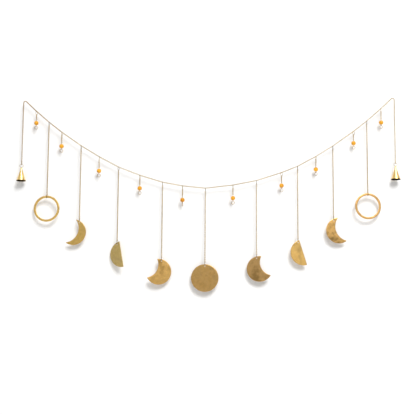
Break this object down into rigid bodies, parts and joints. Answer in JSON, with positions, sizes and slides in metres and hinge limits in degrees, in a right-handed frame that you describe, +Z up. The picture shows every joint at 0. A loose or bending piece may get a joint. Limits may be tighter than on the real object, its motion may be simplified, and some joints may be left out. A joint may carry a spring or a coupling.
{
  "type": "moon phase wall garland",
  "caption": "Fine chain draped over two nails, from which flat brass moon phases hang on long drop chains, with wooden beads between them and a small bell at each end.",
  "frame": {"origin": "on the axis of the left nail, in the middle of the chain that bends over it", "axes": "+X along the wall to the right nail, +Y into the wall, +Z up; the front faces -Y"},
  "size_m": [0.8488, 0.021, 0.4357],
  "materials": {
    "chain_brass": "worn satin cable chain",
    "ring_brass": "bright drawn wire",
    "moon_brass": "antiqued satin with a bright edge",
    "bright_brass": "hammered satin",
    "polished_brass": "mirror polish",
    "amber_wood": "amber stain under gloss lacquer"
  },
  "bodies": {
    "root": {"main_chain": "chain_brass", "new_moon_ring_left_chain": "chain_brass", "thin_crescent_left_chain": "chain_brass", "half_moon_left_chain": "chain_brass", "fat_crescent_left_chain": "chain_brass", "full_moon_chain": "chain_brass", "fat_crescent_right_chain": "chain_brass", "half_moon_right_chain": "chain_brass", "thin_crescent_right_chain": "chain_brass", "new_moon_ring_right_chain": "chain_brass", "new_moon_ring_left": "bright_brass", "thin_crescent_left": "moon_brass", "half_moon_left": "moon_brass", "fat_crescent_left": "moon_brass", "full_moon": "moon_brass", "fat_crescent_right": "moon_brass", "half_moon_right": "moon_brass", "thin_crescent_right": "moon_brass", "new_moon_ring_right": "bright_brass", "bead_01_hanger": "chain_brass", "bead_01": "amber_wood", "bead_01_ring": "ring_brass", "bead_02_hanger": "chain_brass", "bead_02": "amber_wood", "bead_02_ring": "ring_brass", "bead_03_hanger": "chain_brass", "bead_03": "amber_wood", "bead_03_ring": "ring_brass", "bead_04_hanger": "chain_brass", "bead_04": "amber_wood", "bead_04_ring": "ring_brass", "bead_05_hanger": "chain_brass", "bead_05": "amber_wood", "bead_05_ring": "ring_brass", "bead_06_hanger": "chain_brass", "bead_06": "amber_wood", "bead_06_ring": "ring_brass", "bead_07_hanger": "chain_brass", "bead_07": "amber_wood", "bead_07_ring": "ring_brass", "bead_08_hanger": "chain_brass", "bead_08": "amber_wood", "bead_08_ring": "ring_brass", "bead_09_hanger": "chain_brass", "bead_09": "amber_wood", "bead_09_ring": "ring_brass", "bead_10_hanger": "chain_brass", "bead_10": "amber_wood", "bead_10_ring": "ring_brass", "left_bell_ring": "ring_brass", "left_bell": "polished_brass", "right_bell_ring": "ring_brass", "right_bell": "polished_brass"}
  },
  "joints": []
}
